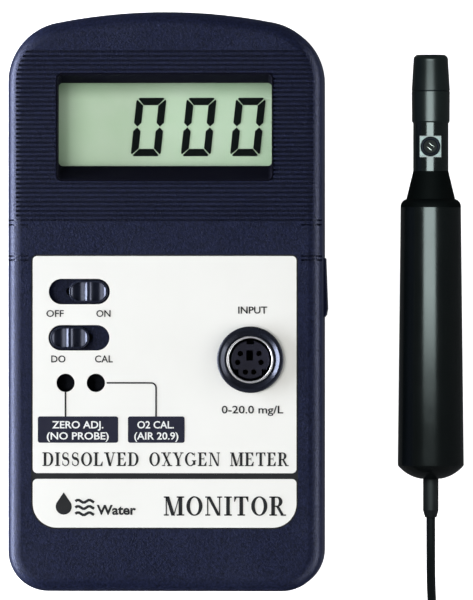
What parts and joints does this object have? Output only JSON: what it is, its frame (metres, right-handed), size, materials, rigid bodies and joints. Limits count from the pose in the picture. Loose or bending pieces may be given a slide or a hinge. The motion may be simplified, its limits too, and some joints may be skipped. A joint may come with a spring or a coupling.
{
  "type": "dissolved oxygen meter with probe",
  "caption": "Handheld water quality meter with display, slide switches and round input socket, and its membrane probe with coiled lead and plug.",
  "frame": {"origin": "centre of the flat back of the meter's case, which lies on the surface", "axes": "+X to the meter's right and towards the probe beside it, +Y towards the display end, +Z out of the front panel"},
  "size_m": [0.1019, 0.1793, 0.0259],
  "materials": {
    "case_navy": "fine matte navy",
    "black_trim": "gloss black",
    "lens": "clear acrylic",
    "lcd": "grey green reflective",
    "lcd_ink": "black green",
    "label": "satin off-white",
    "board": "green solder mask",
    "chip": "matte black",
    "can": "satin",
    "switch_metal": "brushed",
    "trimmer_blue": "blue",
    "white_plastic": "white",
    "shiny_metal": "bright nickel",
    "brass": "plain",
    "gold": "gold plated",
    "screw_steel": "zinc",
    "battery_jacket": "plain grey jacket",
    "rubber": "black",
    "elastomer": "silicone",
    "wire_red": "PVC",
    "wire_black": "PVC",
    "probe_black": "satin black",
    "probe_matte": "matte black",
    "silver": "silver",
    "membrane_film": "thin film",
    "lead_jacket": "satin black PVC"
  },
  "bodies": {
    "meter": {"rear_case": "case_navy", "front_case": "case_navy", "label_plate": "label", "name_plate": "label", "window_bezel": "black_trim", "window_lens": "lens", "lcd_panel": "lcd", "lcd_segments": "lcd_ink", "lcd_frame": "chip", "zebra_strips": "elastomer", "main_board": "board", "board_chips": "chip", "board_capacitors": "can", "power_switch": "switch_metal", "mode_switch": "switch_metal", "zero_trimmer": "trimmer_blue", "span_trimmer": "trimmer_blue", "socket_bezel": "black_trim", "socket_nut": "shiny_metal", "socket_shell": "shiny_metal", "socket_core": "chip", "socket_contacts": "gold", "battery": "battery_jacket", "battery_snap": "chip", "battery_lead_red": "wire_red", "battery_lead_black": "wire_black", "case_screws": "screw_steel", "board_screws": "screw_steel"},
    "power_slider": {"power_knob": "case_navy"},
    "mode_slider": {"mode_knob": "case_navy"},
    "zero_rotor": {"zero_screw": "brass"},
    "span_rotor": {"span_screw": "brass"},
    "door": {"battery_door": "case_navy"},
    "probe": {"handle_barrel": "probe_black", "tail_cap": "probe_black", "strain_relief": "rubber", "nose_cone": "probe_matte", "sensor_sleeve": "probe_black", "sensor_collar": "probe_black", "temperature_sensor": "shiny_metal", "sensor_gasket": "silver", "electrode_stem": "white_plastic", "cathode": "gold", "anode": "silver", "terminal_board": "board", "probe_leads": "wire_red", "cord_tube": "lead_jacket", "cord_tail": "lead_jacket", "cord_coil": "lead_jacket", "coil_tie": "wire_black", "plug_strain_relief": "rubber", "plug_grip": "rubber", "plug_shell": "shiny_metal", "plug_insert": "chip", "plug_pins": "gold"},
    "seal": {"membrane_o_ring": "rubber"},
    "cap": {"membrane_cap": "probe_matte", "membrane": "membrane_film"}
  },
  "joints": [
    {"name": "power_slide", "type": "slide", "parent": "meter", "child": "power_slider", "axis": [-1, 0, 0], "range_m": [0, 0.0041]},
    {"name": "mode_slide", "type": "slide", "parent": "meter", "child": "mode_slider", "axis": [1, 0, 0], "range_m": [0, 0.0041]},
    {"name": "zero_turn", "type": "hinge", "parent": "meter", "child": "zero_rotor", "pos_m": [-0.0222, -0.0182, 0.021], "axis": [0, 0, 1], "range_deg": [-130, 130]},
    {"name": "span_turn", "type": "hinge", "parent": "meter", "child": "span_rotor", "pos_m": [-0.0154, -0.0182, 0.021], "axis": [0, 0, 1], "range_deg": [-130, 130]},
    {"name": "door_slide", "type": "slide", "parent": "meter", "child": "door", "axis": [0, -1, 0], "range_m": [0, 0.03]},
    {"name": "probe_lift_off", "type": "slide", "parent": "meter", "child": "probe", "axis": [1, 0, 0], "range_m": [0, 0.1]},
    {"name": "cap_turn", "type": "hinge", "parent": "probe", "child": "seal", "pos_m": [0.0592, 0.05, 0.00745], "axis": [0, 1, 0], "range_deg": [0, 1440]},
    {"name": "cap_unscrew", "type": "slide", "parent": "seal", "child": "cap", "axis": [0, 1, 0], "range_m": [0, 0.004]}
  ],
  "couplings": [
    {"joint": "cap_unscrew", "follows": "cap_turn", "m_per_rad": 0.00015915}
  ]
}
